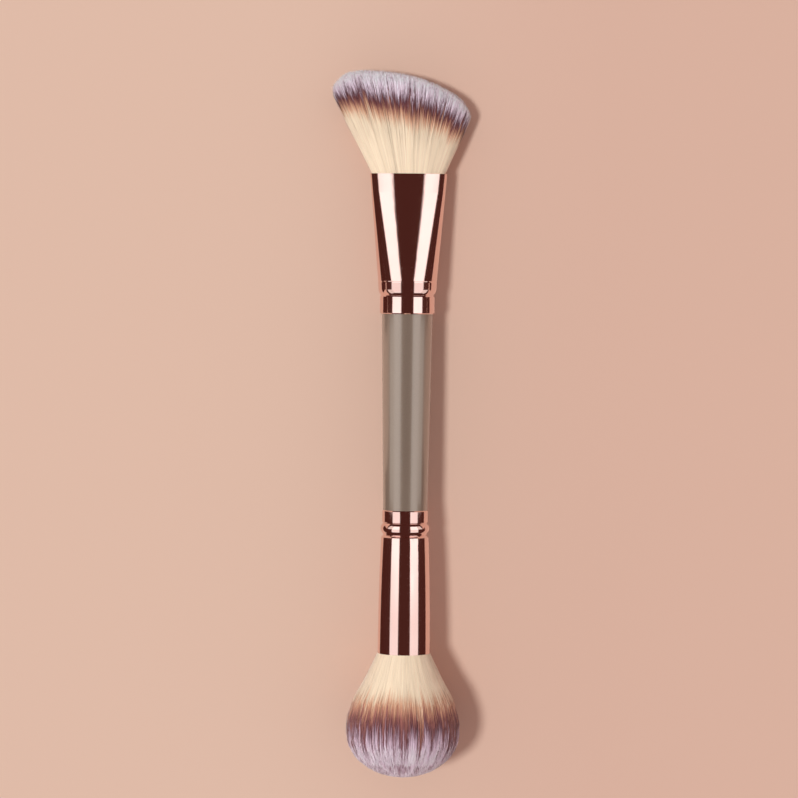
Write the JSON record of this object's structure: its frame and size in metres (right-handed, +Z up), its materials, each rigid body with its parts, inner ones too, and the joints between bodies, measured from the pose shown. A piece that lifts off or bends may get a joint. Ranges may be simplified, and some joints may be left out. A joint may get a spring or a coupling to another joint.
{
  "type": "double ended makeup brush",
  "caption": "Slim cosmetic brush with a slanted flat fan of bristles at one end and a round powder dome at the other, on a tapered lacquered handle with rose gold ferrules.",
  "frame": {"origin": "on the surface that the brush lies on, under the middle of its outline", "axes": "+Y along the brush towards the angled head, which lies lower than the powder head; +X across the flat of the angled head; +Z up"},
  "size_m": [0.038, 0.1898, 0.0297],
  "materials": {
    "handle_lacquer": "satin taupe lacquer on turned wood",
    "rose_gold_metal": "polished rose gold anodised aluminium",
    "bristle_fibre": "soft synthetic hair, cream with a dark band and pale lilac tips",
    "tie_thread": "plain wound thread",
    "root_resin": "clear amber resin"
  },
  "bodies": {
    "root": {"handle": "handle_lacquer", "angled_ferrule": "rose_gold_metal", "powder_ferrule": "rose_gold_metal", "angled_bristles": "bristle_fibre", "powder_bristles": "bristle_fibre", "angled_root_tie": "tie_thread", "powder_root_tie": "tie_thread", "angled_glue_plug": "root_resin", "powder_glue_plug": "root_resin"}
  },
  "joints": []
}
